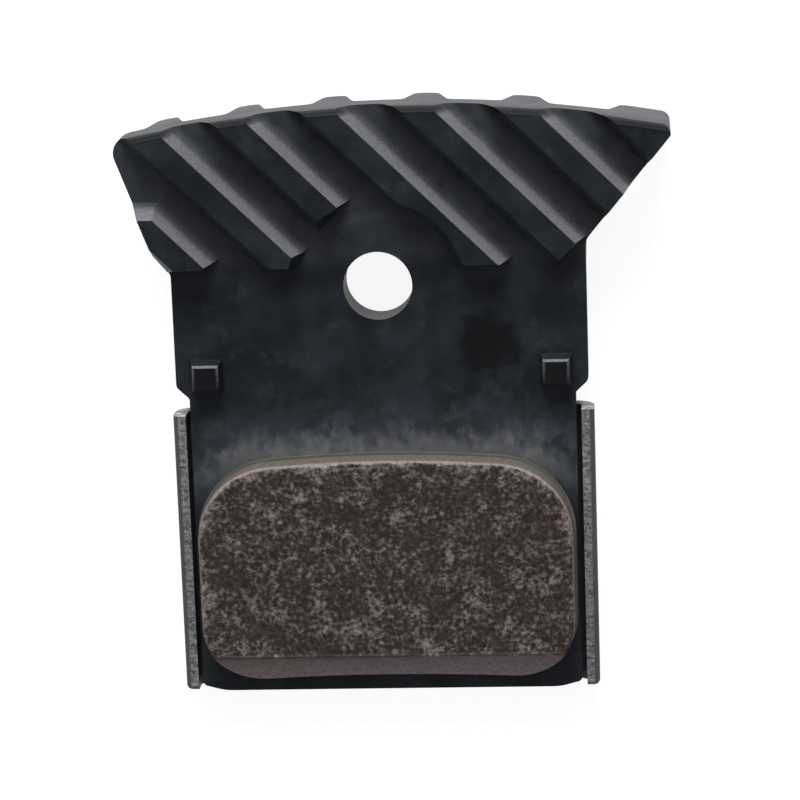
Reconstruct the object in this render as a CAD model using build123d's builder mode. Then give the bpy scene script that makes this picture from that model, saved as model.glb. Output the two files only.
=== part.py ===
from build123d import *
import os
from math import atan, degrees, radians, tan

os.makedirs("parts", exist_ok=True)

# Finned disc brake pad. Lengths in mm. The origin is the pad-axle hole's axis at the piston seat,
# +Z points at the disc, +Y up the cooling fin, +X to the right seen from the disc.

# Thickness stack from the piston seat outwards
sheet_t = 0.75
plate_t = 1.5
bond_t = 0.15
block_t = 1.55
plate_rear = sheet_t
plate_front = plate_rear + plate_t
bond_front = plate_front + bond_t
block_face = bond_front + block_t

# Pad-axle hole and the low boss round it
hole_r = 2.0
boss_r = 4.5
boss_run = 0.6
boss_h = 0.12

# Outline of the casting
bottom_y = -24.5
lower_half = 11.3
shoulder_step = 0.75
neck_half = lower_half + shoulder_step
shoulder_top = -5.85
shoulder_low = -6.55
shoulder_r = 0.5
shoulder_root_r = 0.28
relief_w = 1.3
relief_h = 0.35
relief_r = 3.0
lower_corner_r = 0.3
flare_left_y = 0.85
kink_step = 0.95
kink_x = -neck_half - kink_step
kink_y = 2.25
kink_r = 0.6
flare_left = 20
flare_right_y = 2.4
flare_right = 39.5
flare_right_r = 0.9
crown_r = 81.5
crown_x = 1.55
crown_y = 10.6
crown_low = crown_y - crown_r
crown_edge = 0.32
crown_facet = 0.3 * crown_edge
head_left_r = 1.05
head_right_r = 0.58
flare_reach = crown_y + 4

# Diagonal ribs, counted from the lower left
rib_count = 7
rib_pitch = 3.96
rib_first = -6.64
rib_h = 1.4
rib_top = 1.38
rib_run = 0.62
rib_foot_r = 0.5
rib_tip_r = 0.12
rib_tip_y = 4.35
rib_tip_run = 0.82
rib_draft = degrees(atan(rib_run / rib_h))
rib_tip_draft = degrees(atan(rib_tip_run / rib_h))
rib_base = rib_top + 2 * rib_run
rib_tip = plate_front + rib_h
rear_pitch = 3.86
rear_first = -5.85
rear_h = 2.4
rear_base = 1.8
rear_run = 0.45
rear_foot_r = 0.35
rear_tip_r = 0.4
rear_draft = degrees(atan(rear_run / rear_h))
rear_tip = plate_rear - rear_h
field_low_y = 1.03
field_clear_r = 4.6
square_ends = [7.75, 4.18, 4.6, -4.42, -6.67]
end_draft = 13
flank_draft = 4
beyond = 40

# Square spring stops beside the neck
stop_inset = 1.85
stop_x = neck_half - stop_inset
stop_y = -5.15
stop_top = 1.5
stop_run = 0.2
stop_h = 1.0
stop_edge = 0.1
stop_draft = degrees(atan(stop_run / stop_h))

# Folded steel shoe
flange_gap = 0.3
bend_in_r = 0.4
bend_out_r = bend_in_r + sheet_t
flange_in = lower_half + flange_gap
flange_out = flange_in + sheet_t
flange_top = -7.6
flange_edge_r = 0.3
flange_end_r = 0.35
web_step = 0.6
web_half = flange_in - web_step
web_top = -3.0
web_corner_r = 1.5
eye_r = 4.2
eye_root_r = 1.8
web_lap = 1.0
plate_edge_break = bend_in_r / 2

# Friction block and the film under it
block_margin = 0.3
block_half = lower_half - block_margin
block_top = -10.1
block_crown = 0.75
block_low = -23.3
block_hollow = 0.5
block_top_r = 4.5
block_low_r = 3.5
bevel_run = 1.4
bevel_drop = 0.75
bevel_top = block_low + bevel_run
block_edge = 0.16
bond_rim = 0.15

# Cast fin plate: one comb section swept along the ribs, trimmed to the outline
rib_plane = Plane(origin=(0, 0, 0), x_dir=(1, 1, 0), z_dir=(1, -1, 0))
rib_offsets = [rib_first + rib_pitch * k for k in range(rib_count)]
rear_offsets = [rear_first + rear_pitch * k for k in range(rib_count)]

with BuildPart() as fin_plate:
    with BuildSketch(rib_plane) as comb:
        with Locations((0, plate_rear)):
            Rectangle(2 * beyond, plate_t, align=(Align.CENTER, Align.MIN))
        with Locations(*[(offset, plate_front) for offset in rib_offsets]):
            Trapezoid(rib_base, rib_h, 90 - rib_draft, align=(Align.CENTER, Align.MIN))
        with Locations(*[Location((offset, plate_rear), 180) for offset in rear_offsets]):
            Trapezoid(rear_base, rear_h, 90 - rear_draft, align=(Align.CENTER, Align.MIN))
        # The last ribs of both faces fill the head's right corner
        with Locations((rib_offsets[-1], plate_front)):
            Rectangle(beyond / 2, rib_h, align=(Align.MIN, Align.MIN))
        with Locations((rear_offsets[-1], plate_rear)):
            Rectangle(beyond / 2, rear_h, align=(Align.MIN, Align.MAX))
        inner = comb.vertices().filter_by_position(Axis.X, -beyond / 2, beyond / 2)
        fillet(inner.filter_by_position(Axis.Y, plate_front - 0.01, plate_front + 0.01), rib_foot_r)
        inner = comb.vertices().filter_by_position(Axis.X, -beyond / 2, beyond / 2)
        fillet(inner.filter_by_position(Axis.Y, plate_rear - 0.01, plate_rear + 0.01), rear_foot_r)
        inner = comb.vertices().filter_by_position(Axis.X, -beyond / 2, beyond / 2)
        fillet(inner.filter_by_position(Axis.Y, rear_tip - 0.01, rear_tip + 0.01), rear_tip_r)
        inner = comb.vertices().filter_by_position(Axis.X, -beyond / 2, beyond / 2)
        fillet(inner.filter_by_position(Axis.Y, rib_tip - 0.01, rib_tip + 0.01), rib_tip_r)
    extrude(amount=beyond, both=True)

    with BuildSketch(Plane.XY.offset(rear_tip)) as outline:
        with BuildLine():
            FilletPolyline(
                (lower_half - relief_w, bottom_y),
                (lower_half, bottom_y + relief_h),
                (lower_half, shoulder_low),
                (neck_half, shoulder_top),
                (neck_half, flare_right_y),
                (neck_half + (flare_reach - flare_right_y) * tan(radians(flare_right)), flare_reach),
                (kink_x - (flare_reach - kink_y) * tan(radians(flare_left)), flare_reach),
                (kink_x, kink_y),
                (-neck_half, flare_left_y),
                (-neck_half, shoulder_top),
                (-lower_half, shoulder_low),
                (-lower_half, bottom_y + relief_h),
                (relief_w - lower_half, bottom_y),
                radius=[
                    relief_r, lower_corner_r, shoulder_root_r, shoulder_r, flare_right_r, 0, 0,
                    kink_r, kink_r, shoulder_r, shoulder_root_r, lower_corner_r, relief_r,
                ],
                close=True,
            )
        make_face()
        with Locations((crown_x, crown_low)):
            Circle(crown_r, mode=Mode.INTERSECT)
        fillet(outline.vertices().sort_by(Axis.Y)[-2:].sort_by(Axis.X)[0], head_left_r)
        fillet(outline.vertices().sort_by(Axis.X)[-1], head_right_r)
    extrude(amount=rear_h + plate_t + rib_h, mode=Mode.INTERSECT)

    # The crown's front edge is eased along the ribs by two facets
    with BuildSketch(Plane(origin=(crown_x, crown_low, 0), x_dir=(0, 1, 0), z_dir=(1, 0, 0))):
        with BuildLine():
            Polyline(
                (crown_r - 2 * crown_edge + crown_facet, rib_tip + crown_facet),
                (crown_r - crown_facet, rib_tip - crown_facet),
                (crown_r + crown_facet, rib_tip - 2 * crown_edge + crown_facet),
                (crown_r + crown_facet, rib_tip + crown_facet),
                close=True,
            )
        make_face()
    revolve(axis=Axis((crown_x, crown_low, 0), (0, 0, 1)), mode=Mode.SUBTRACT)

    # Ribs end on a drafted line above the hole and stay clear of the hole, on both faces
    for face_plane, height, line_draft, round_draft in (
        (Plane.XY.offset(plate_front), rib_h, end_draft, rib_draft),
        (Plane.XY.offset(plate_rear).rotated((180, 0, 0)), rear_h, rear_draft, rear_draft),
    ):
        up = face_plane.z_dir.Z
        with BuildSketch(face_plane):
            with Locations((0, up * (field_low_y - beyond / 2))):
                Rectangle(2 * beyond, beyond)
        extrude(amount=2 * height, taper=-line_draft, mode=Mode.SUBTRACT)
        with BuildSketch(face_plane):
            Circle(field_clear_r)
        extrude(amount=2 * height, taper=-round_draft, mode=Mode.SUBTRACT)

    # The front ribs' lower ends are squared off, each at its own place along the rib
    for place in zip(rib_offsets, square_ends):
        with BuildSketch(Plane.XY.offset(plate_front)):
            with Locations(Location((0, 0), 45)):
                with Locations(place):
                    Rectangle(rib_pitch, beyond, align=(Align.CENTER, Align.MAX))
        extrude(amount=2 * rib_h, taper=-end_draft, mode=Mode.SUBTRACT)

    # The first rib's upper tip is cut off level, as far as the middle of the next groove
    with BuildSketch(Plane.XY.offset(plate_front)):
        with Locations((0, rib_tip_y + rib_tip_run)):
            Rectangle(beyond, beyond, align=(Align.MAX, Align.MIN))
        with Locations(Location((0, 0), 45)):
            with Locations((rib_first + rib_pitch / 2, 0)):
                Rectangle(2 * beyond, 2 * beyond, align=(Align.MAX, Align.CENTER), mode=Mode.INTERSECT)
    extrude(amount=2 * rib_h, taper=-rib_tip_draft, mode=Mode.SUBTRACT)

    # Both flanks draft the ribs that reach them
    for corner, lean, align in (
        ((kink_x, kink_y), flare_left, (Align.MAX, Align.MIN)),
        ((neck_half, flare_right_y), -flare_right, (Align.MIN, Align.MIN)),
    ):
        with BuildSketch(Plane.XY.offset(plate_front)):
            with Locations(Location(corner, lean)):
                Rectangle(beyond, beyond, align=align)
        extrude(amount=2 * rib_h, taper=-flank_draft, mode=Mode.SUBTRACT)

    with Locations((0, 0, plate_front)):
        Cone(boss_r, boss_r - boss_run, boss_h, align=(Align.CENTER, Align.CENTER, Align.MIN))

    with BuildSketch(Plane.XY.offset(plate_front)):
        with Locations((-stop_x, stop_y), (stop_x, stop_y)):
            Rectangle(stop_top + 2 * stop_run, stop_top + 2 * stop_run)
    extrude(amount=stop_h, taper=stop_draft)
    stop_faces = fin_plate.faces().filter_by(Axis.Z).filter_by_position(
        Axis.Z, plate_front + stop_h - 0.01, plate_front + stop_h + 0.01
    )
    chamfer(stop_faces.edges(), stop_edge)

    # The lower plate's rear edges are broken to sit clear of the shoe's bends
    with BuildSketch(Plane.XZ.offset(-shoulder_low)):
        with Locations((-lower_half, plate_rear), (lower_half, plate_rear)):
            RegularPolygon(plate_edge_break, 4)
    extrude(amount=shoulder_low - bottom_y, mode=Mode.SUBTRACT)

    with BuildSketch(Plane.XY):
        Circle(hole_r)
    extrude(amount=block_face, mode=Mode.SUBTRACT)

# Folded shoe: channel section along the pad, flat web and round eye above it
with BuildPart() as steel_shoe:
    with BuildSketch(Plane.XZ.offset(-flange_top)) as channel:
        with BuildLine():
            FilletPolyline(
                (-flange_out, plate_front),
                (-flange_out, 0),
                (flange_out, 0),
                (flange_out, plate_front),
                (flange_in, plate_front),
                (flange_in, sheet_t),
                (-flange_in, sheet_t),
                (-flange_in, plate_front),
                radius=[flange_edge_r, bend_out_r, bend_out_r, flange_edge_r, 0, bend_in_r, bend_in_r, 0],
                close=True,
            )
        make_face()
    extrude(amount=flange_top - bottom_y)
    with BuildSketch(Plane.XY) as web:
        with Locations((0, flange_top - web_lap)):
            Rectangle(2 * web_half, web_top - flange_top + web_lap, align=(Align.CENTER, Align.MIN))
        fillet(web.vertices().group_by(Axis.Y)[-1], web_corner_r)
        Circle(eye_r)
        roots = web.vertices().filter_by_position(Axis.Y, web_top - 0.01, web_top + 0.01)
        fillet(roots.filter_by_position(Axis.X, -eye_r, eye_r), eye_root_r)
    extrude(amount=sheet_t)
    with BuildSketch(Plane.XY):
        Circle(hole_r)
    extrude(amount=sheet_t, mode=Mode.SUBTRACT)
    end_edges = steel_shoe.edges().filter_by(Axis.Z).filter_by_position(
        Axis.Y, bottom_y - 0.01, bottom_y + 0.01
    )
    fillet(end_edges.filter_by(lambda e: abs(e.center().X) > flange_in + 0.01), flange_end_r)

# Outline shared by the friction block and its adhesive film
with BuildSketch() as block_outline:
    with BuildLine():
        ThreePointArc(
            (-block_half, block_top - block_crown), (0, block_top), (block_half, block_top - block_crown)
        )
        Line((block_half, block_top - block_crown), (block_half, block_low - block_hollow))
        ThreePointArc(
            (block_half, block_low - block_hollow), (0, block_low), (-block_half, block_low - block_hollow)
        )
        Line((-block_half, block_low - block_hollow), (-block_half, block_top - block_crown))
    make_face()
    fillet(block_outline.vertices().group_by(Axis.Y)[-1], block_top_r)
    fillet(block_outline.vertices().group_by(Axis.Y)[0], block_low_r)

# Adhesive film, squeezed out a little all round
with BuildPart() as bond_layer:
    with BuildSketch(Plane.XY.offset(plate_front)):
        add(block_outline.sketch)
        offset(amount=bond_rim)
    extrude(amount=bond_t)

# Friction compound with the flat bevel along its lower edge
with BuildPart() as friction_block:
    with BuildSketch(Plane.XY.offset(bond_front)):
        add(block_outline.sketch)
    extrude(amount=block_t)
    with BuildSketch(Plane.YZ):
        with BuildLine():
            Polyline(
                (bevel_top, block_face),
                (bevel_top - 2 * bevel_run, block_face - 2 * bevel_drop),
                (bevel_top - 2 * bevel_run, block_face),
                close=True,
            )
        make_face()
    extrude(amount=beyond, both=True, mode=Mode.SUBTRACT)
    face_edges = friction_block.faces().sort_by(Axis.Z)[-1].edges()
    chamfer(face_edges.filter_by(Axis.X, reverse=True), block_edge)

fin_plate.part.label = "fin_plate"
steel_shoe.part.label = "steel_shoe"
bond_layer.part.label = "bond_layer"
friction_block.part.label = "friction_block"

export_step(fin_plate.part, "parts/fin_plate.step")
export_step(steel_shoe.part, "parts/steel_shoe.step")
export_step(bond_layer.part, "parts/bond_layer.step")
export_step(friction_block.part, "parts/friction_block.step")
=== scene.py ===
import logging
import math
from dataclasses import dataclass
from enum import Enum
from typing import Any

import bmesh
import bpy
from mathutils import Matrix, Vector, kdtree, noise


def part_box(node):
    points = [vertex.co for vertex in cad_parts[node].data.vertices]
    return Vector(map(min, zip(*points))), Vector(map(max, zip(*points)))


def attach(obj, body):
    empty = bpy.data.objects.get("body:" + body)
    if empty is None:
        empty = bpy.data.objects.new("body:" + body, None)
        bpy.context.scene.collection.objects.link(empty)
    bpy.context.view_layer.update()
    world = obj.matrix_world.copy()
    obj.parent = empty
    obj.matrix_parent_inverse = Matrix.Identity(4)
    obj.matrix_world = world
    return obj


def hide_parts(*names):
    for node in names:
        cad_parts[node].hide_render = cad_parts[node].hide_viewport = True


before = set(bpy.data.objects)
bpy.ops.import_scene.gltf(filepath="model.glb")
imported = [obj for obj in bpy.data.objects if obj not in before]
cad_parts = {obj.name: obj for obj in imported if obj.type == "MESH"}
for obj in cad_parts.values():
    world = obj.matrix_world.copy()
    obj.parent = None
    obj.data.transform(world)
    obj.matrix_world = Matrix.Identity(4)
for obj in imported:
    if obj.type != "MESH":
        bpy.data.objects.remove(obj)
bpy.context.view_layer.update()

MM = 0.001
RIM = "rim_distance"
SMOOTH = "SMOOTHSTEP"
IN_PLANE = (1.0, 1.0, 0.0)
NOISE_MIDDLE = 0.5
LOG = logging.getLogger("brake_pad")

Tree = bpy.types.NodeTree
Socket = bpy.types.NodeSocket
Span = tuple[float, float]
Triple = tuple[float, float, float]


class Slot(Enum):
    """The record's material slots, one for each physical piece."""

    COAT = "coated_aluminium"
    STEEL = "shoe_steel"
    BOND = "bond_film"
    FRICTION = "friction_compound"


class Node(Enum):
    """The CAD nodes of the pad."""

    CASTING = "fin_plate"
    SHOE = "steel_shoe"
    BOND = "bond_layer"
    BLOCK = "friction_block"


def linear(hex_colour: str) -> tuple[float, float, float, float]:
    """Turns an sRGB hex colour into a linear colour.

    Args:
        hex_colour: Six hex digits after a hash sign.

    Returns:
        Red, green, blue and an alpha of 1.
    """
    channels = [int(hex_colour[i:i + 2], 16) / 255 for i in (1, 3, 5)]
    red, green, blue = [
        c / 12.92 if c <= 0.04045 else ((c + 0.055) / 1.055) ** 2.4 for c in channels
    ]
    return red, green, blue, 1.0


def add(
    tree: Tree, kind: str, sockets: dict[Any, Any] | tuple[Any, ...] = (), **settings: Any
) -> bpy.types.Node:
    """Adds a node with its settings, socket values and links.

    Args:
        tree: Node tree that takes the node.
        kind: Node type name, without its common prefix.
        sockets: Values of the first inputs in order, or input name or index to a value. A value
            may be the socket that feeds the input.
        settings: Properties of the node itself.

    Returns:
        The new node.
    """
    made = tree.nodes.new("ShaderNode" + kind)
    for name, value in settings.items():
        setattr(made, name, value)
    pairs = sockets.items() if isinstance(sockets, dict) else enumerate(sockets)
    for key, value in pairs:
        if isinstance(value, Socket):
            tree.links.new(value, made.inputs[key])
        else:
            made.inputs[key].default_value = value
    return made


@dataclass(frozen=True)
class Finish:
    """What every finish shares: a named material with one surface shader and a fine relief.

    Attributes:
        name: The real material and how it was made.
        rough: Roughness where the mottling is low, and where it is high.
        specular: Specular level of the surface.
        relief: Strength of the fine relief.
        relief_mm: Depth of the fine relief.
        mottle_span: Where the mottling is low, and where it is high.
    """

    name: str
    rough: Span = (0.5, 0.5)
    specular: float = 0.5
    relief: float = 0.0
    relief_mm: float = 0.0
    mottle_span: Span = (0.3, 0.7)

    def start(self) -> tuple[bpy.types.Material, Tree, bpy.types.Node, Socket]:
        """Makes the empty material.

        Returns:
            The material, its tree, its surface shader and the Object coordinates in millimetres.
        """
        material = bpy.data.materials.new(self.name)
        material.use_nodes = True
        tree = material.node_tree
        tree.nodes.clear()
        shader = add(tree, "BsdfPrincipled")
        add(tree, "OutputMaterial", {"Surface": shader.outputs[0]})
        metres = add(tree, "TexCoord").outputs["Object"]
        place = add(tree, "VectorMath", {0: metres, "Scale": 1 / MM}, operation="SCALE").outputs[0]
        return material, tree, shader, place

    def close(
        self, tree: Tree, shader: bpy.types.Node, colour: Socket, mottle: Socket, height: Socket
    ) -> None:
        """Gives the surface shader its colour, roughness, specular level and fine relief.

        Args:
            tree: Node tree of the material.
            shader: Its surface shader.
            colour: The finished colour.
            mottle: Noise that the roughness follows.
            height: Noise that the fine relief follows.
        """
        tree.links.new(colour, shader.inputs["Base Color"])
        rough = add(tree, "MapRange", (mottle, *self.mottle_span, *self.rough))
        tree.links.new(rough.outputs[0], shader.inputs["Roughness"])
        shader.inputs["Specular IOR Level"].default_value = self.specular
        depth = self.relief_mm * MM
        bump = add(tree, "Bump", {"Height": height, "Strength": self.relief, "Distance": depth})
        tree.links.new(bump.outputs[0], shader.inputs["Normal"])


@dataclass(frozen=True)
class BlackCoat(Finish):
    """Black electro-coat on die-cast aluminium.

    Satin and almost neutral, a little blue, with faint clouds, scuffs and fine casting grain. A
    blue-grey film from the bonding oven lies round the top of the friction block, dust gathers at
    its foot, and handling has left a dark mark beside the hole. On top lie painted light and shade:
    a little dust with painted fill light in the grooves, on the flanks that look down the head and
    on the boss's lower rim; a painted highlight on the flanks that face up the head, on the head's
    upper wall and on the stops' worn edges; and painted shade on the ends of the ribs at the crown.
    """

    name: str = "black coated die-cast aluminium"
    rough: Span = (0.44, 0.56)
    specular: float = 0.2
    relief: float = 0.25
    relief_mm: float = 0.02

    # Colours
    deep: str = "#14181d"
    pale: str = "#22262d"
    film: str = "#484e57"
    dust: str = "#6b6a69"
    stain_and_shade: str = "#040506"
    scuff_and_fill_light: str = "#33373c"
    groove_dust_and_fill_light: str = "#323539"
    painted_highlight: str = "#68686c"
    edge_wear_and_highlight: str = "#64676b"

    # Clouds, flakes, scuffs and the casting grain, which is drawn coarser than it is, to show
    cloud_mm: float = 2.6
    cloud_span: Span = (0.35, 0.68)
    flake_mm: float = 0.9
    scuff_mm: float = 1.4
    scuff_span: Span = (0.54, 0.72)
    scuff_share: float = 0.5
    grain_mm: float = 0.16

    # Film and dust round the friction block, and the height on the block's sides where they fade
    block_centre_mm: Triple = (0.0, -16.8, 0.0)
    block_half_mm: Span = (11.0, 6.7)
    block_corner_mm: float = 4.2
    film_reach_mm: float = 4.0
    film_share: float = 0.92
    film_even: float = 0.0
    dust_reach_mm: float = 1.7
    dust_share: float = 0.84
    dust_even: float = 0.6
    fade_mm: Span = (-13.6, -9.4)
    streak_mm: Triple = (0.6, 1.1, 1.0)
    wander_mm: float = 2.4
    scallop_mm: float = 1.9
    scallop_drift_mm: float = 1.4
    scallop_break: float = -0.7
    scallop_span: Span = (0.13, -0.03)
    scallop_share: Span = (0.48, 1.05)
    speck_mm: float = 0.34
    speck_span: Span = (0.36, 0.56)
    speck_share: Span = (0.78, 1.08)

    # Dark mark beside the hole
    stain_centre_mm: Triple = (6.3, -3.7, 2.3)
    stain_reach_mm: Span = (3.7, 2.5)
    stain_wander_mm: float = 2.6
    stain_share: float = 0.85

    # Dust, with painted fill light lifting the shade, in the grooves and on the flanks that look
    # down the head
    groove_field_mm: Span = (1.0, 2.0)
    groove_height_mm: Span = (2.5, 2.3)
    shaded_facing: Triple = (-0.6, -0.65, 0.46)
    shaded_span: Span = (0.75, 0.92)
    groove_span: Span = (0.35, 0.6)
    groove_share: Span = (0.5, 1.0)

    # Painted fill light on the shaded lower side of the boss's low rim, inside and outside
    boss_inner_mm: Span = (3.82, 3.9)
    boss_outer_mm: Span = (4.58, 4.5)
    boss_side_mm: Span = (0.0, -3.0)
    boss_share: float = 0.22

    # Painted highlight on the flanks that face up the head and on the head's upper wall, painted
    # shade on the ends of the ribs at the crown
    head_mm: Span = (-3.0, -2.5)
    flank_height_mm: Span = (2.25, 3.0)
    flank_least: float = 0.15
    flank_facing: Triple = (0.42, 0.81, 0.41)
    flank_span: Span = (0.74, 0.92)
    flank_speckle: Span = (0.7, 1.2)
    wall_facing: Triple = (0.0, 0.995, 0.1)
    wall_span: Span = (0.8, 0.98)
    wall_share: float = 0.22
    crown_centre_mm: Triple = (1.55, -70.9, 0.0)
    crown_reach_mm: Span = (81.3, 81.0)
    crown_least: float = 0.2
    rib_end_mm: Span = (2.5, 3.4)
    rib_end_share: float = 0.85

    # Worn edges of the stops with a painted highlight, strongest towards the head, and their dark
    # tops
    stop_centre_mm: Span = (10.2, -5.15)
    stop_ring_mm: Span = (0.61, 0.67)
    stop_rim_mm: Span = (0.82, 0.78)
    stop_top_mm: Span = (3.08, 3.14)
    stop_fade_mm: Span = (-0.7, 0.7)
    stop_edge_patch_span: Span = (0.3, 0.6)
    stop_edge_patch_share: Span = (0.4, 1.0)
    stop_dark: float = 0.8

    def build(self) -> bpy.types.Material:
        """Builds the coat's material.

        Returns:
            The material.
        """
        material, tree, shader, place = self.start()
        clouds, flakes, grain = (
            add(tree, "TexNoise", {"Vector": place, "Scale": 1 / size, "Detail": detail}).outputs[0]
            for size, detail in ((self.cloud_mm, 4.0), (self.flake_mm, 6.0), (self.grain_mm, 2.0))
        )
        tone = add(
            tree, "MapRange", (clouds, *self.cloud_span), interpolation_type=SMOOTH
        ).outputs[0]
        coat = add(
            tree, "Mix", {0: tone, 6: linear(self.deep), 7: linear(self.pale)}, data_type="RGBA"
        ).outputs[2]
        scuffs = add(
            tree,
            "TexNoise",
            {"Vector": place, "Scale": 1 / self.scuff_mm, "Detail": 8.0, "Roughness": 0.65},
        ).outputs[0]
        scuffs = add(
            tree,
            "MapRange",
            (scuffs, *self.scuff_span, 0.0, self.scuff_share),
            interpolation_type=SMOOTH,
        ).outputs[0]
        coat = add(
            tree, "Mix", {0: scuffs, 6: coat, 7: linear(self.scuff_and_fill_light)}, data_type="RGBA"
        ).outputs[2]
        coat = self.dust_and_light_grooves(tree, place, flakes, coat)
        coat = self.light_boss_rim(tree, place, coat)
        coat = self.lay_film(tree, place, flakes, coat)
        coat = self.lay_stain(tree, place, flakes, coat)
        coat = self.paint_flank_light_and_shade(tree, place, grain, coat)
        coat = self.wear_and_highlight_stops(tree, place, grain, coat)
        self.close(tree, shader, coat, clouds, grain)
        return material

    def lay_film(self, tree: Tree, place: Socket, flakes: Socket, coat: Socket) -> Socket:
        """Lays the oven film and the dust round the friction block's upper half.

        Args:
            tree: Node tree of the coat.
            place: Object coordinates in millimetres.
            flakes: Noise that breaks the film up.
            coat: Colour so far.

        Returns:
            The colour with the film and the dust on it.
        """
        away = self.measure_block(tree, place)
        along = add(
            tree, "VectorMath", (place, [1 / size for size in self.streak_mm]), operation="MULTIPLY"
        ).outputs[0]
        streaks = add(
            tree, "TexNoise", {"Vector": along, "Scale": 1.0, "Detail": 4.0}
        ).outputs[0]
        streaks = add(tree, "Math", (streaks, NOISE_MIDDLE), operation="SUBTRACT").outputs[0]
        away = add(
            tree, "Math", (streaks, self.wander_mm, away), operation="MULTIPLY_ADD"
        ).outputs[0]
        patchy = self.break_film(tree, place, flakes)
        height = add(tree, "SeparateXYZ", (place,)).outputs[1]
        upper = add(
            tree, "MapRange", (height, *self.fade_mm), interpolation_type=SMOOTH
        ).outputs[0]
        steep = add(tree, "Math", (upper, upper), operation="MULTIPLY").outputs[0]
        layers = (
            (self.film, self.film_reach_mm, self.film_share, self.film_even, upper),
            (self.dust, self.dust_reach_mm, self.dust_share, self.dust_even, steep),
        )
        edge = self.block_corner_mm
        for colour, reach, share, even, fade in layers:
            near = add(
                tree, "MapRange", (away, edge + reach, edge, 0.0, share), interpolation_type=SMOOTH
            ).outputs[0]
            broken = add(
                tree, "MapRange", (patchy, 0.0, 1.0, even, 1.0), clamp=False
            ).outputs[0]
            for mask in (fade, broken):
                near = add(tree, "Math", (near, mask), operation="MULTIPLY").outputs[0]
            coat = add(
                tree, "Mix", {0: near, 6: coat, 7: linear(colour)}, data_type="RGBA"
            ).outputs[2]
        return coat

    def measure_block(self, tree: Tree, place: Socket) -> Socket:
        """Measures how far each place is from the friction block's core.

        Args:
            tree: Node tree of the coat.
            place: Object coordinates in millimetres.

        Returns:
            The distance in the plane, which is the corner radius at the block's edge.
        """
        origin = (0.0, 0.0, 0.0)
        # Deeper than the pad, so that the height above the piston seat does not count
        deep = 1000.0
        core = (*(half - self.block_corner_mm for half in self.block_half_mm), deep)
        away = place
        for operation, other in (
            ("SUBTRACT", self.block_centre_mm),
            ("ABSOLUTE", origin),
            ("SUBTRACT", core),
            ("MAXIMUM", origin),
        ):
            away = add(tree, "VectorMath", (away, other), operation=operation).outputs[0]
        return add(tree, "VectorMath", (away,), operation="LENGTH").outputs["Value"]

    def break_film(self, tree: Tree, place: Socket, flakes: Socket) -> Socket:
        """Breaks the film into scallops and specks.

        Args:
            tree: Node tree of the coat.
            place: Object coordinates in millimetres.
            flakes: Noise that bends the scallops.

        Returns:
            How much of the film is left at each place.
        """
        drift = add(
            tree, "Math", (flakes, self.scallop_drift_mm), operation="MULTIPLY"
        ).outputs[0]
        drift = add(tree, "VectorMath", (place, drift), operation="ADD").outputs[0]
        rings = add(
            tree, "TexVoronoi", {"Vector": drift, "Scale": 1 / self.scallop_mm}
        ).outputs["Distance"]
        rings = add(
            tree, "Math", (flakes, self.scallop_break, rings), operation="MULTIPLY_ADD"
        ).outputs[0]
        patchy = add(
            tree,
            "MapRange",
            (rings, *self.scallop_span, *self.scallop_share),
            interpolation_type=SMOOTH,
        ).outputs[0]
        specks = add(
            tree, "TexNoise", {"Vector": place, "Scale": 1 / self.speck_mm, "Detail": 4.0}
        ).outputs[0]
        specks = add(tree, "MapRange", (specks, *self.speck_span, *self.speck_share)).outputs[0]
        return add(tree, "Math", (patchy, specks), operation="MULTIPLY").outputs[0]

    def lay_stain(self, tree: Tree, place: Socket, flakes: Socket, coat: Socket) -> Socket:
        """Lays the dark handling mark beside the hole.

        Args:
            tree: Node tree of the coat.
            place: Object coordinates in millimetres.
            flakes: Noise that makes the mark's edge wander.
            coat: Colour so far.

        Returns:
            The colour with the mark on it.
        """
        away = add(
            tree, "VectorMath", (place, self.stain_centre_mm), operation="DISTANCE"
        ).outputs["Value"]
        away = add(
            tree, "Math", (flakes, self.stain_wander_mm, away), operation="MULTIPLY_ADD"
        ).outputs[0]
        mark = add(
            tree,
            "MapRange",
            (away, *self.stain_reach_mm, 0.0, self.stain_share),
            interpolation_type=SMOOTH,
        ).outputs[0]
        return add(
            tree, "Mix", {0: mark, 6: coat, 7: linear(self.stain_and_shade)}, data_type="RGBA"
        ).outputs[2]

    def dust_and_light_grooves(self, tree: Tree, place: Socket, flakes: Socket, coat: Socket) -> Socket:
        """Leaves a little dust, with painted fill light that lifts their shade, in the grooves and
        on the flanks that look down the head.

        Args:
            tree: Node tree of the coat.
            place: Object coordinates in millimetres.
            flakes: Noise that breaks the dust up.
            coat: Colour so far.

        Returns:
            The colour with the dust and painted fill light in the grooves.
        """
        axes = add(tree, "SeparateXYZ", (place,)).outputs
        field = add(tree, "MapRange", (axes[1], *self.groove_field_mm)).outputs[0]
        floor = add(tree, "MapRange", (axes[2], *self.groove_height_mm)).outputs[0]
        turned = add(tree, "TexCoord").outputs["Normal"]
        under = add(
            tree, "VectorMath", (turned, self.shaded_facing), operation="DOT_PRODUCT"
        ).outputs["Value"]
        under = add(
            tree, "MapRange", (under, *self.shaded_span), interpolation_type=SMOOTH
        ).outputs[0]
        patchy = add(tree, "MapRange", (flakes, *self.groove_span, *self.groove_share)).outputs[0]
        dust_and_fill_light = add(tree, "Math", (floor, under), operation="MAXIMUM").outputs[0]
        for mask in (field, patchy):
            dust_and_fill_light = add(tree, "Math", (dust_and_fill_light, mask), operation="MULTIPLY").outputs[0]
        # Dust and painted fill light: grooves and flanks in shade are mixed paler than their shade
        return add(
            tree, "Mix", {0: dust_and_fill_light, 6: coat, 7: linear(self.groove_dust_and_fill_light)}, data_type="RGBA"
        ).outputs[2]

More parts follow.
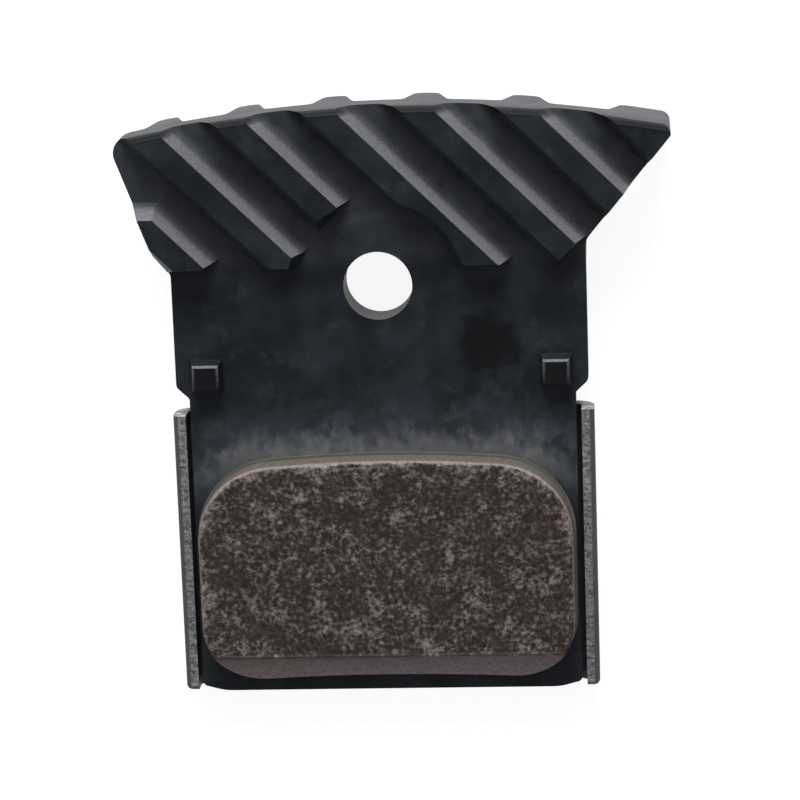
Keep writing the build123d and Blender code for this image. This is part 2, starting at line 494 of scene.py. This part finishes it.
    def light_boss_rim(self, tree: Tree, place: Socket, coat: Socket) -> Socket:
        """Paints fill light on the low rim of the boss, on its side towards the friction block,
        which faces away from the light and lies in shade.

        Args:
            tree: Node tree of the coat.
            place: Object coordinates in millimetres.
            coat: Colour so far.

        Returns:
            The colour with the painted fill light on the rim.
        """
        flat = add(tree, "VectorMath", (place, IN_PLANE), operation="MULTIPLY").outputs[0]
        away = add(tree, "VectorMath", (flat,), operation="LENGTH").outputs["Value"]
        height = add(tree, "SeparateXYZ", (place,)).outputs[1]
        rim = add(tree, "MapRange", (height, *self.boss_side_mm, 0.0, self.boss_share)).outputs[0]
        for span in (self.boss_inner_mm, self.boss_outer_mm):
            mask = add(tree, "MapRange", (away, *span)).outputs[0]
            rim = add(tree, "Math", (rim, mask), operation="MULTIPLY").outputs[0]
        # Painted fill light: the shaded lower side of the rim is mixed towards the paler scuff
        # colour
        return add(
            tree, "Mix", {0: rim, 6: coat, 7: linear(self.scuff_and_fill_light)}, data_type="RGBA"
        ).outputs[2]

    def wear_and_highlight_stops(self, tree: Tree, place: Socket, grain: Socket, coat: Socket) -> Socket:
        """Wears the edges of the two stops pale, with a painted highlight strongest towards the
        head, where the light comes from, and darkens their tops.

        Args:
            tree: Node tree of the coat.
            place: Object coordinates in millimetres.
            grain: Noise that breaks up the wear and the painted highlight.
            coat: Colour so far.

        Returns:
            The colour with the worn, highlighted edges and dark tops.
        """
        axes = add(tree, "SeparateXYZ", (place,)).outputs
        side = add(tree, "Math", (axes[0],), operation="ABSOLUTE").outputs[0]
        across, up = (
            add(tree, "Math", (axis, centre), operation="SUBTRACT").outputs[0]
            for axis, centre in zip((side, axes[1]), self.stop_centre_mm)
        )
        wide, tall = (
            add(tree, "Math", (axis,), operation="ABSOLUTE").outputs[0] for axis in (across, up)
        )
        square = add(tree, "Math", (wide, tall), operation="MAXIMUM").outputs[0]
        rim = add(tree, "MapRange", (square, *self.stop_rim_mm)).outputs[0]
        top = add(tree, "MapRange", (axes[2], *self.stop_top_mm)).outputs[0]
        inside = add(tree, "Math", (rim, top), operation="MULTIPLY").outputs[0]
        patchy = add(
            tree, "MapRange", (grain, *self.stop_edge_patch_span, *self.stop_edge_patch_share)
        ).outputs[0]
        # Painted highlight: the pale edge grows towards the head, the side the light comes from
        fade = add(tree, "MapRange", (up, *self.stop_fade_mm)).outputs[0]
        edge = add(tree, "MapRange", (square, *self.stop_ring_mm)).outputs[0]
        for mask in (inside, patchy, fade):
            edge = add(tree, "Math", (edge, mask), operation="MULTIPLY").outputs[0]
        dark = add(tree, "Math", (inside, self.stop_dark), operation="MULTIPLY").outputs[0]
        coat = add(
            tree, "Mix", {0: dark, 6: coat, 7: linear(self.stain_and_shade)}, data_type="RGBA"
        ).outputs[2]
        return add(
            tree, "Mix", {0: edge, 6: coat, 7: linear(self.edge_wear_and_highlight)}, data_type="RGBA"
        ).outputs[2]

    def paint_flank_light_and_shade(self, tree: Tree, place: Socket, grain: Socket, coat: Socket) -> Socket:
        """Paints a highlight on the flanks that look up the head, and a little on its upper wall.

        The highlight fades towards the flanks' feet as painted shade, and painted shade keeps the
        ends of the ribs at the crown dark towards their tops.

        Args:
            tree: Node tree of the coat.
            place: Object coordinates in millimetres.
            grain: Noise that breaks up the painted highlight.
            coat: Colour so far.

        Returns:
            The colour with the painted highlight and shade.
        """
        axes = add(tree, "SeparateXYZ", (place,)).outputs
        head = add(tree, "MapRange", (axes[1], *self.head_mm)).outputs[0]
        # The painted highlight fades from the crest towards the flank's foot, as painted shade
        # where the next rib's shadow falls
        rise = add(
            tree,
            "MapRange",
            (axes[2], *self.flank_height_mm, self.flank_least, 1.0),
            interpolation_type=SMOOTH,
        ).outputs[0]
        speckle = add(tree, "MapRange", (grain, *self.mottle_span, *self.flank_speckle)).outputs[0]
        for mask in (head, speckle):
            rise = add(tree, "Math", (rise, mask), operation="MULTIPLY").outputs[0]
        turned = add(tree, "TexCoord").outputs["Normal"]
        flank, wall = (
            add(tree, "VectorMath", (turned, facing), operation="DOT_PRODUCT").outputs["Value"]
            for facing in (self.flank_facing, self.wall_facing)
        )
        flank = add(
            tree, "MapRange", (flank, *self.flank_span), interpolation_type=SMOOTH
        ).outputs[0]
        flank = add(tree, "Math", (flank, rise), operation="MULTIPLY", use_clamp=True).outputs[0]
        flat = add(tree, "VectorMath", (place, IN_PLANE), operation="MULTIPLY").outputs[0]
        away = add(
            tree, "VectorMath", (flat, self.crown_centre_mm), operation="DISTANCE"
        ).outputs["Value"]
        inside = add(
            tree, "MapRange", (away, *self.crown_reach_mm, self.crown_least, 1.0)
        ).outputs[0]
        flank = add(tree, "Math", (flank, inside), operation="MULTIPLY").outputs[0]
        wall = add(
            tree,
            "MapRange",
            (wall, *self.wall_span, 0.0, self.wall_share),
            interpolation_type=SMOOTH,
        ).outputs[0]
        wall = add(tree, "Math", (wall, head), operation="MULTIPLY").outputs[0]
        painted_highlight = add(tree, "Math", (flank, wall), operation="MAXIMUM").outputs[0]
        # Painted shade: the ends of the ribs at the crown are darkened towards their tops
        ends = add(
            tree, "MapRange", (axes[2], *self.rib_end_mm), interpolation_type=SMOOTH
        ).outputs[0]
        edge = add(
            tree, "MapRange", (inside, 1.0, self.crown_least, 0.0, self.rib_end_share)
        ).outputs[0]
        ends = add(tree, "Math", (ends, edge), operation="MULTIPLY").outputs[0]
        # Painted highlight on the flanks and the head's upper wall that face the light
        coat = add(
            tree, "Mix", {0: painted_highlight, 6: coat, 7: linear(self.painted_highlight)}, data_type="RGBA"
        ).outputs[2]
        return add(
            tree, "Mix", {0: ends, 6: coat, 7: linear(self.stain_and_shade)}, data_type="RGBA"
        ).outputs[2]


@dataclass(frozen=True)
class ShearedSteel(Finish):
    """Folded sheet steel, phosphated dark, bare where the press sheared it.

    The sheared front edges show a bright torn grain in short ridges across the sheet; the rolled
    outer corner and the web stay dark.
    """

    name: str = "phosphated sheet steel with sheared edges"
    rough: Span = (0.5, 0.7)
    relief: float = 0.35
    relief_mm: float = 0.03
    metallic: float = 0.25

    # Colours
    skin: str = "#424346"
    skin_pale: str = "#545558"
    torn: str = "#949495"
    torn_dark: str = "#48484a"
    cut_end_highlight: str = "#c9c9ca"

    # Clouds of the phosphate, and the torn grain, which is drawn coarser than it is, to show
    cloud_mm: float = 1.8
    grain_mm: float = 0.14
    ridge_mm: Triple = (0.5, 0.17, 0.5)
    speck_span: Span = (0.8, 1.22)

    # Where the sheet is bare: its front edge inside the rolled corner, and the flanges' upper ends,
    # painted paler still as a highlight
    bare_side_mm: Span = (12.11, 12.01)
    bare_height_mm: Span = (2.17, 2.22)
    flange_side_mm: Span = (11.4, 11.5)
    end_mm: Span = (-7.63, -7.61)

    def build(self) -> bpy.types.Material:
        """Builds the steel's material.

        Returns:
            The material.
        """
        material, tree, shader, place = self.start()
        clouds, grain = (
            add(tree, "TexNoise", {"Vector": place, "Scale": 1 / size, "Detail": detail}).outputs[0]
            for size, detail in ((self.cloud_mm, 4.0), (self.grain_mm, 3.0))
        )
        skin = add(
            tree,
            "Mix",
            {0: clouds, 6: linear(self.skin), 7: linear(self.skin_pale)},
            data_type="RGBA",
        ).outputs[2]
        across = add(
            tree, "VectorMath", (place, [1 / size for size in self.ridge_mm]), operation="MULTIPLY"
        ).outputs[0]
        ridges = add(
            tree, "TexNoise", {"Vector": across, "Scale": 1.0, "Detail": 3.0}
        ).outputs[0]
        speck = add(tree, "Math", (grain, ridges), operation="ADD").outputs[0]
        speck = add(tree, "MapRange", (speck, *self.speck_span)).outputs[0]
        torn = add(
            tree,
            "Mix",
            {0: speck, 6: linear(self.torn_dark), 7: linear(self.torn)},
            data_type="RGBA",
        ).outputs[2]
        axes = add(tree, "SeparateXYZ", (place,)).outputs
        side = add(tree, "Math", (axes[0],), operation="ABSOLUTE").outputs[0]
        inner = add(tree, "MapRange", (side, *self.bare_side_mm)).outputs[0]
        front = add(tree, "MapRange", (axes[2], *self.bare_height_mm)).outputs[0]
        bare = add(tree, "Math", (inner, front), operation="MULTIPLY").outputs[0]
        colour = add(tree, "Mix", {0: bare, 6: skin, 7: torn}, data_type="RGBA").outputs[2]
        # The flanges' bare upper ends face the light and are painted paler still, as a highlight
        flange = add(tree, "MapRange", (side, *self.flange_side_mm)).outputs[0]
        end = add(tree, "MapRange", (axes[1], *self.end_mm)).outputs[0]
        for mask in (flange, speck):
            end = add(tree, "Math", (end, mask), operation="MULTIPLY").outputs[0]
        colour = add(
            tree, "Mix", {0: end, 6: colour, 7: linear(self.cut_end_highlight)}, data_type="RGBA"
        ).outputs[2]
        shader.inputs["Metallic"].default_value = self.metallic
        self.close(tree, shader, colour, grain, grain)
        return material


@dataclass(frozen=True)
class BondFilm(Finish):
    """Phenolic bonding adhesive, cured and matt, olive grey, lumpy where it squeezed out."""

    name: str = "cured phenolic adhesive"
    rough: Span = (0.66, 0.74)
    relief: float = 0.4
    relief_mm: float = 0.05
    dull: str = "#4b4944"
    pale: str = "#605d56"
    lump_mm: float = 0.5

    def build(self) -> bpy.types.Material:
        """Builds the adhesive's material.

        Returns:
            The material.
        """
        material, tree, shader, place = self.start()
        lumps = add(
            tree, "TexNoise", {"Vector": place, "Scale": 1 / self.lump_mm, "Detail": 4.0}
        ).outputs[0]
        colour = add(
            tree, "Mix", {0: lumps, 6: linear(self.dull), 7: linear(self.pale)}, data_type="RGBA"
        ).outputs[2]
        self.close(tree, shader, colour, lumps, lumps)
        return material


@dataclass(frozen=True)
class FrictionCompound(Finish):
    """Moulded resin friction compound with chopped metal.

    Dark brown resin, matt and uneven, thickly speckled with pale pinkish grains that gather in
    clusters. The ground edge is paler, with a painted highlight strongest on the upper edge, the
    lower bevel smooth and mauve, and the moulded walls olive grey.
    """

    name: str = "moulded resin friction compound"
    rough: Span = (0.85, 0.65)
    specular: float = 0.15
    relief: float = 0.4
    relief_mm: float = 0.03

    # Colours
    resin: str = "#261e1b"
    resin_warm: str = "#463936"
    grit: str = "#9c928f"
    edge: str = "#857b77"
    bevel: str = "#766a6c"
    bevel_low: str = "#8e8083"
    wall: str = "#625c58"
    wall_low: str = "#5b5851"

    # Grains, how thickly they gather, and the paler fringe inside the face's rim
    grit_mm: float = 0.24
    grit_span: Span = (0.92, 1.5)
    tone_span: Span = (0.3, 0.65)
    clump_mm: float = 0.5
    clump_share: float = 0.3
    cluster_mm: float = 1.4
    cluster_share: float = 0.64
    fringe_mm: float = 0.45
    fringe_share: float = 0.2
    upper_mm: Span = (-15.5, -11.5)
    upper_least: float = 0.6

    # Torn flakes
    flake_mm: float = 0.36
    tear_mm: float = 0.12
    tear_share: float = 0.9
    crowd_share: float = 3.0
    shown_span: Span = (2.2, 2.5)
    flake_reach: Span = (0.3, 0.6)
    flake_edge: Span = (1.1, 0.2)
    flake_share: Span = (0.1, 0.55)

    # Lower bevel, as distances up from its start, and the mottling of its slope
    bevel_start_mm: float = -21.9
    bevel_run_mm: float = 1.4
    bevel_clear_mm: Span = (0.1, 1.2)
    bevel_above_mm: Span = (0.02, 0.1)
    bevel_ragged_mm: float = 0.9
    bevel_below_mm: Span = (0.5, 0.16)
    bevel_share: float = 0.95
    slope_span: Span = (0.54, 0.38)
    slope_share: float = 0.3

    # Ground edge with its painted highlight, and moulded wall, as heights over the edge's foot
    foot_mm: float = 3.79
    edge_mm: Span = (0.12, 0.09)
    edge_span: Span = (0.3, 0.6)
    edge_share: Span = (0.65, 1.0)
    wall_mm: Span = (0.01, -0.04)
    wall_rise_mm: Span = (-0.9, -0.3)
    pit_span: Span = (0.5, 0.36)
    pit_share: float = 0.6

    def build(self) -> bpy.types.Material:
        """Builds the compound's material.

        Returns:
            The material.
        """
        material, tree, shader, place = self.start()
        clusters, fine, clumps = (
            add(
                tree,
                "TexNoise",
                {"Vector": place, "Scale": 1 / size, "Detail": detail, "Roughness": roughness},
            ).outputs[0]
            for size, detail, roughness in (
                (self.cluster_mm, 3.0, 0.5),
                (self.grit_mm, 3.0, 0.6),
                (self.clump_mm, 1.0, 0.5),
            )
        )
        tone = add(tree, "MapRange", (fine, *self.tone_span)).outputs[0]
        colour = add(
            tree,
            "Mix",
            {0: tone, 6: linear(self.resin), 7: linear(self.resin_warm)},
            data_type="RGBA",
        ).outputs[2]
        rim = add(tree, "Attribute", attribute_name=RIM).outputs["Fac"]
        fringe = add(
            tree, "MapRange", (rim, self.fringe_mm * MM, 0.0, 0.0, self.fringe_share)
        ).outputs[0]
        crowd = add(
            tree, "Math", (fringe, self.weigh_rim(tree, place)), operation="MULTIPLY"
        ).outputs[0]
        for gather, share in ((clusters, self.cluster_share), (clumps, self.clump_share)):
            crowd = add(tree, "Math", (gather, share, crowd), operation="MULTIPLY_ADD").outputs[0]
        grit = add(tree, "Math", (fine, crowd), operation="ADD").outputs[0]
        grit = add(
            tree, "MapRange", (grit, *self.grit_span), interpolation_type=SMOOTH
        ).outputs[0]
        flakes = self.scatter(tree, place, crowd)
        grit = add(tree, "Math", (grit, flakes), operation="MAXIMUM").outputs[0]
        colour = add(
            tree, "Mix", {0: grit, 6: colour, 7: linear(self.grit)}, data_type="RGBA"
        ).outputs[2]
        colour = self.shade_bevel(tree, place, fine, colour)
        colour = self.shade_walls(tree, place, fine, colour)
        self.close(tree, shader, colour, fine, fine)
        return material

    def weigh_rim(self, tree: Tree, place: Socket) -> Socket:
        """Weighs the block's upper edge fully, its sides less and the edge at the bevel not at all.

        Args:
            tree: Node tree of the compound.
            place: Object coordinates in millimetres.

        Returns:
            The weight at each place.
        """
        height = add(tree, "SeparateXYZ", (place,)).outputs[1]
        up = add(tree, "Math", (height, self.bevel_start_mm), operation="SUBTRACT").outputs[0]
        weight = add(tree, "MapRange", (height, *self.upper_mm, self.upper_least, 1.0)).outputs[0]
        clear = add(tree, "MapRange", (up, *self.bevel_clear_mm)).outputs[0]
        return add(tree, "Math", (weight, clear), operation="MULTIPLY").outputs[0]

    def scatter(self, tree: Tree, place: Socket, crowd: Socket) -> Socket:
        """Scatters torn flakes, each with its own place, size and strength.

        Args:
            tree: Node tree of the compound.
            place: Object coordinates in millimetres.
            crowd: How thickly flakes gather at each place.

        Returns:
            How much flake shows at each place.
        """
        tear = add(
            tree, "TexNoise", {"Vector": place, "Scale": 1 / self.tear_mm, "Detail": 2.0}
        ).outputs[1]
        middle = [NOISE_MIDDLE] * 3
        tear = add(tree, "VectorMath", (tear, middle), operation="SUBTRACT").outputs[0]
        pull = [self.tear_share * self.flake_mm] * 3
        torn = add(tree, "VectorMath", (tear, pull, place), operation="MULTIPLY_ADD").outputs[0]
        cells = add(tree, "TexVoronoi", {"Vector": torn, "Scale": 1 / self.flake_mm}).outputs
        lots = add(tree, "SeparateColor", (cells["Color"],)).outputs
        chance = add(
            tree, "Math", (crowd, self.crowd_share, lots[0]), operation="MULTIPLY_ADD"
        ).outputs[0]
        shown = add(tree, "MapRange", (chance, *self.shown_span)).outputs[0]
        reach = add(tree, "MapRange", (lots[1], 0.0, 1.0, *self.flake_reach)).outputs[0]
        body = add(tree, "Math", (cells["Distance"], reach), operation="DIVIDE").outputs[0]
        flake = add(
            tree, "MapRange", (body, *self.flake_edge), interpolation_type=SMOOTH
        ).outputs[0]
        strength = add(tree, "MapRange", (lots[2], 0.0, 1.0, *self.flake_share)).outputs[0]
        for mask in (shown, strength):
            flake = add(tree, "Math", (flake, mask), operation="MULTIPLY").outputs[0]
        return flake

    def shade_bevel(self, tree: Tree, place: Socket, fine: Socket, colour: Socket) -> Socket:
        """Colours the lower bevel, which is smoother than the face and begins raggedly.

        Args:
            tree: Node tree of the compound.
            place: Object coordinates in millimetres.
            fine: Noise that makes the bevel's start ragged and its slope uneven.
            colour: Colour of the face.

        Returns:
            The colour with the bevel.
        """
        height = add(tree, "SeparateXYZ", (place,)).outputs[1]
        up = add(tree, "Math", (height, self.bevel_start_mm), operation="SUBTRACT").outputs[0]
        ragged = add(
            tree, "Math", (fine, self.bevel_ragged_mm, up), operation="MULTIPLY_ADD"
        ).outputs[0]
        below = add(
            tree, "MapRange", (ragged, *self.bevel_below_mm, 0.0, self.bevel_share)
        ).outputs[0]
        down = add(tree, "MapRange", (up, 0.0, -self.bevel_run_mm)).outputs[0]
        slope = add(
            tree,
            "Mix",
            {0: down, 6: linear(self.bevel), 7: linear(self.bevel_low)},
            data_type="RGBA",
        ).outputs[2]
        mottle = add(tree, "MapRange", (fine, *self.slope_span, 0.0, self.slope_share)).outputs[0]
        slope = add(
            tree, "Mix", {0: mottle, 6: slope, 7: linear(self.resin_warm)}, data_type="RGBA"
        ).outputs[2]
        return add(tree, "Mix", {0: below, 6: colour, 7: slope}, data_type="RGBA").outputs[2]

    def shade_walls(self, tree: Tree, place: Socket, fine: Socket, colour: Socket) -> Socket:
        """Colours the ground edge, paler and with a painted highlight, and the moulded walls above
        the bevel.

        Args:
            tree: Node tree of the compound.
            place: Object coordinates in millimetres.
            fine: Noise that breaks the edge up and pits the walls.
            colour: Colour of the face and the bevel.

        Returns:
            The colour with the edge and the walls.
        """
        axes = add(tree, "SeparateXYZ", (place,)).outputs
        up = add(tree, "Math", (axes[1], self.bevel_start_mm), operation="SUBTRACT").outputs[0]
        above = add(tree, "MapRange", (up, *self.bevel_above_mm)).outputs[0]
        over = add(tree, "Math", (axes[2], self.foot_mm), operation="SUBTRACT").outputs[0]
        edge_wear_and_highlight = add(tree, "MapRange", (fine, *self.edge_span, *self.edge_share)).outputs[0]
        # Paler ground edge with a painted highlight, full on the upper edge, weaker on the sides
        edge = add(tree, "MapRange", (over, *self.edge_mm)).outputs[0]
        for mask in (above, edge_wear_and_highlight, self.weigh_rim(tree, place)):
            edge = add(tree, "Math", (edge, mask), operation="MULTIPLY").outputs[0]
        wall = add(tree, "MapRange", (over, *self.wall_mm)).outputs[0]
        wall = add(tree, "Math", (wall, above), operation="MULTIPLY").outputs[0]
        rise = add(tree, "MapRange", (over, *self.wall_rise_mm)).outputs[0]
        rise = add(tree, "Math", (rise, edge_wear_and_highlight), operation="MULTIPLY").outputs[0]
        moulded = add(
            tree, "Mix", {0: rise, 6: linear(self.wall_low), 7: linear(self.wall)}, data_type="RGBA"
        ).outputs[2]
        pits = add(tree, "MapRange", (fine, *self.pit_span, 0.0, self.pit_share)).outputs[0]
        moulded = add(
            tree, "Mix", {0: pits, 6: moulded, 7: linear(self.resin_warm)}, data_type="RGBA"
        ).outputs[2]
        colour = add(
            tree, "Mix", {0: edge, 6: colour, 7: linear(self.edge)}, data_type="RGBA"
        ).outputs[2]
        return add(tree, "Mix", {0: wall, 6: colour, 7: moulded}, data_type="RGBA").outputs[2]


@dataclass(frozen=True)
class WhitePaper(Finish):
    """Matt white studio paper, lit from behind a little, which keeps a soft shadow."""

    name: str = "white studio paper"
    rough: Span = (1.0, 1.0)
    specular: float = 0.0
    sheet: str = "#858585"
    glow: float = 0.9

    def build(self) -> bpy.types.Material:
        """Builds the paper's material.

        Returns:
            The material.
        """
        material, tree, shader, _ = self.start()
        shader.inputs["Base Color"].default_value = linear(self.sheet)
        shader.inputs["Roughness"].default_value = self.rough[0]
        shader.inputs["Specular IOR Level"].default_value = self.specular
        rays = add(tree, "LightPath").outputs
        seen = rays["Is Camera Ray"]
        for ray in ("Is Glossy Ray", "Is Transmission Ray"):
            seen = add(tree, "Math", (seen, rays[ray]), operation="MAXIMUM").outputs[0]
        glow = add(tree, "Math", (seen, self.glow), operation="MULTIPLY").outputs[0]
        shader.inputs["Emission Color"].default_value = (1, 1, 1, 1)
        tree.links.new(glow, shader.inputs["Emission Strength"])
        return material


@dataclass
class Piece:
    """A piece of the pad that stands on one CAD node, dressed as it is."""

    node: Node
    slot: Slot
    finish: Finish

    def build(self) -> bpy.types.Object:
        """Dresses the CAD node itself.

        Returns:
            The dressed object.
        """
        return self.dress(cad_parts[self.node.value])

    def dress(self, piece: bpy.types.Object) -> bpy.types.Object:
        """Gives a mesh its finish.

        Args:
            piece: Object that takes the material.

        Returns:
            The same object.
        """
        piece.data.materials.clear()
        piece.data.materials.append(self.finish.build())
        return piece


@dataclass
class RoughPiece(Piece):
    """A piece whose front face has a real, shallow relief.

    Attributes:
        front_mm: Height of the flat face that is roughened.
        pitch_mm: Grid size of the relief.
        lump_mm: Size of its lumps.
        depth_mm: Depth of its deepest pits.
        merge_mm: Distance within which the copy's loose corners are one.
        cut_mm: Distance within which a cut keeps to a corner that is there.
        flat_deg: Angle below which faces count as one flat face.
        crease_deg: Angle above which an edge stays sharp.
        level_mm: How far a corner of the flat face may lie off its height.
        level_cos: Least forward share of the flat face's normal.
        octaves: Fractal dimension, step and number of the octaves of the lumps.
        swell: Mean depth of the pits and how far they vary, as shares of the deepest.
    """

    front_mm: float
    pitch_mm: float
    lump_mm: float
    depth_mm: float
    merge_mm: float = 0.002
    cut_mm: float = 0.001
    flat_deg: float = 0.4
    crease_deg: float = 14.0
    level_mm: float = 0.01
    level_cos: float = 0.999
    octaves: tuple[float, float, int] = (0.8, 2.0, 3)
    swell: Span = (0.4, 0.6)

    def build(self) -> bpy.types.Object:
        """Builds the roughened piece that stands for the CAD node.

        Returns:
            The dressed piece, riding on the pad.
        """
        mesh = bmesh.new()
        mesh.from_mesh(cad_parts[self.node.value].data)
        bmesh.ops.remove_doubles(mesh, verts=mesh.verts, dist=self.merge_mm * MM)
        bmesh.ops.dissolve_limit(
            mesh, angle_limit=math.radians(self.flat_deg), verts=mesh.verts, edges=mesh.edges
        )
        self.cut_grid(mesh)
        self.mark_rim(mesh)
        self.sink_pits(mesh)
        for face in mesh.faces:
            face.smooth = True
        name = self.node.value + "_rough"
        data = bpy.data.meshes.new(name)
        mesh.to_mesh(data)
        mesh.free()
        data.set_sharp_from_angle(angle=math.radians(self.crease_deg))
        piece = bpy.data.objects.new(name, data)
        bpy.context.scene.collection.objects.link(piece)
        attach(piece, "root")
        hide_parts(self.node.value)
        return self.dress(piece)

    def is_front(self, face: bmesh.types.BMFace) -> bool:
        """Tells whether a face lies in the flat front."""
        off = abs(face.verts[0].co.z - self.front_mm * MM)
        return face.normal.z > self.level_cos and off < self.level_mm * MM

    def cut_grid(self, mesh: bmesh.types.BMesh) -> None:
        """Cuts the flat front into a fine grid.

        Args:
            mesh: Mesh that is cut.
        """
        low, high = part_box(self.node.value)
        for axis, normal in ((0, Vector((1, 0, 0))), (1, Vector((0, 1, 0)))):
            steps = int((high[axis] - low[axis]) / (self.pitch_mm * MM))
            for step in range(1, steps + 1):
                faces = [face for face in mesh.faces if self.is_front(face)]
                edges = {edge for face in faces for edge in face.edges}
                verts = {vert for face in faces for vert in face.verts}
                bmesh.ops.bisect_plane(
                    mesh,
                    geom=[*verts, *edges, *faces],
                    dist=self.cut_mm * MM,
                    plane_co=normal * (low[axis] + step * self.pitch_mm * MM),
                    plane_no=normal,
                )

    def mark_rim(self, mesh: bmesh.types.BMesh) -> None:
        """Keeps each point's distance from the front's rim, which the finish reads.

        Args:
            mesh: Mesh with the cut grid.
        """
        rim = [
            edge
            for edge in mesh.edges
            if sum(self.is_front(face) for face in edge.link_faces) == 1
        ]
        places = []
        for edge in rim:
            first, last = (vert.co for vert in edge.verts)
            places += [first, last, (first + last) / 2]
        tree = kdtree.KDTree(len(places))
        for index, place in enumerate(places):
            tree.insert(place, index)
        tree.balance()
        layer = mesh.verts.layers.float.new(RIM)
        for vert in mesh.verts:
            vert[layer] = tree.find(vert.co)[2]

    def sink_pits(self, mesh: bmesh.types.BMesh) -> None:
        """Sinks the inner points of the front into shallow pits.

        Args:
            mesh: Mesh with the cut grid.
        """
        inner = [
            vert for vert in mesh.verts if all(self.is_front(face) for face in vert.link_faces)
        ]
        mean, swing = self.swell
        for vert in inner:
            lumps = noise.fractal(vert.co / (self.lump_mm * MM), *self.octaves)
            vert.co.z -= self.depth_mm * MM * min(1.0, max(0.0, mean + swing * lumps))


@dataclass
class Studio:
    """Floor, soft light and camera."""

    eye_mm: Triple = (15.04, 39.33, 193.27)
    aim_mm: Triple = (1.0, -7.0, 1.6)
    up: Triple = (0.0184, 0.9723, -0.2330)
    lens_mm: float = 152.0
    sensor_mm: float = 36.0
    clip_m: Span = (0.01, 10.0)
    floor_m: float = 4.0
    foot_y_mm: float = -24.17
    rib_tip_y_mm: float = 1.48
    rib_tip_z_mm: float = -1.65
    world_level: float = 0.35
    key_watts: float = 6.1
    key_size_m: float = 0.36
    key_place_m: Triple = (-0.03, 0.58, 0.25)

    def build_floor(self) -> bpy.types.Object:
        """Lays the paper under the pad, which rests on its rib tips and its lower end.

        Returns:
            The floor.
        """
        mesh = bmesh.new()
        bmesh.ops.create_grid(mesh, x_segments=2, y_segments=2, size=self.floor_m / 2)
        slope = math.atan2(self.rib_tip_z_mm, self.rib_tip_y_mm - self.foot_y_mm)
        turn = Matrix.Rotation(slope, 3, "X")
        bmesh.ops.rotate(mesh, cent=(0, 0, 0), matrix=turn, verts=mesh.verts)
        bmesh.ops.translate(mesh, vec=(0, self.foot_y_mm * MM, 0), verts=mesh.verts)
        data = bpy.data.meshes.new("floor")
        mesh.to_mesh(data)
        mesh.free()
        data.materials.append(WhitePaper().build())
        floor = bpy.data.objects.new("floor", data)
        bpy.context.scene.collection.objects.link(floor)
        return floor

    def build_light(self) -> None:
        """Sets the even room light and one large soft box at the head's side."""
        world = bpy.data.worlds.new("studio")
        world.use_nodes = True
        tree = world.node_tree
        tree.nodes.clear()
        sky = add(tree, "Background", {"Color": (1, 1, 1, 1), "Strength": self.world_level})
        add(tree, "OutputWorld", {"Surface": sky.outputs[0]})
        bpy.context.scene.world = world
        lamp = bpy.data.lights.new("soft box", "AREA")
        lamp.shape = "SQUARE"
        lamp.size = self.key_size_m
        lamp.energy = self.key_watts
        key = bpy.data.objects.new("soft box", lamp)
        key.location = self.key_place_m
        key.rotation_euler = (-Vector(self.key_place_m)).to_track_quat("-Z", "Y").to_euler()
        bpy.context.scene.collection.objects.link(key)

    def build_camera(self) -> None:
        """Sets the camera at the photograph's viewing angle."""
        back = (Vector(self.eye_mm) - Vector(self.aim_mm)).normalized()
        right = Vector(self.up).cross(back).normalized()
        turn = Matrix((right, back.cross(right), back)).transposed()
        data = bpy.data.cameras.new("camera")
        data.sensor_width = self.sensor_mm
        data.lens = self.lens_mm
        data.clip_start, data.clip_end = self.clip_m
        camera = bpy.data.objects.new("camera", data)
        camera.matrix_world = Matrix.Translation(Vector(self.eye_mm) * MM) @ turn.to_4x4()
        bpy.context.scene.collection.objects.link(camera)
        bpy.context.scene.camera = camera


def main() -> None:
    """Builds the pad's pieces and the studio."""
    logging.basicConfig(level=logging.INFO, format="%(message)s")
    pieces = [
        Piece(Node.CASTING, Slot.COAT, BlackCoat()),
        RoughPiece(
            Node.SHOE,
            Slot.STEEL,
            ShearedSteel(),
            front_mm=2.25,
            pitch_mm=0.15,
            lump_mm=0.3,
            depth_mm=0.06,
        ),
        Piece(Node.BOND, Slot.BOND, BondFilm()),
        RoughPiece(
            Node.BLOCK,
            Slot.FRICTION,
            FrictionCompound(),
            front_mm=3.95,
            pitch_mm=0.15,
            lump_mm=0.5,
            depth_mm=0.03,
        ),
    ]
    for piece in pieces:
        made = piece.build()
        LOG.info("%s: %d faces, %s", made.name, len(made.data.polygons), piece.finish.name)
    studio = Studio()
    studio.build_floor()
    studio.build_light()
    studio.build_camera()
    scene = bpy.context.scene
    scene.view_settings.view_transform = "Standard"


if __name__ == "__main__":
    main()
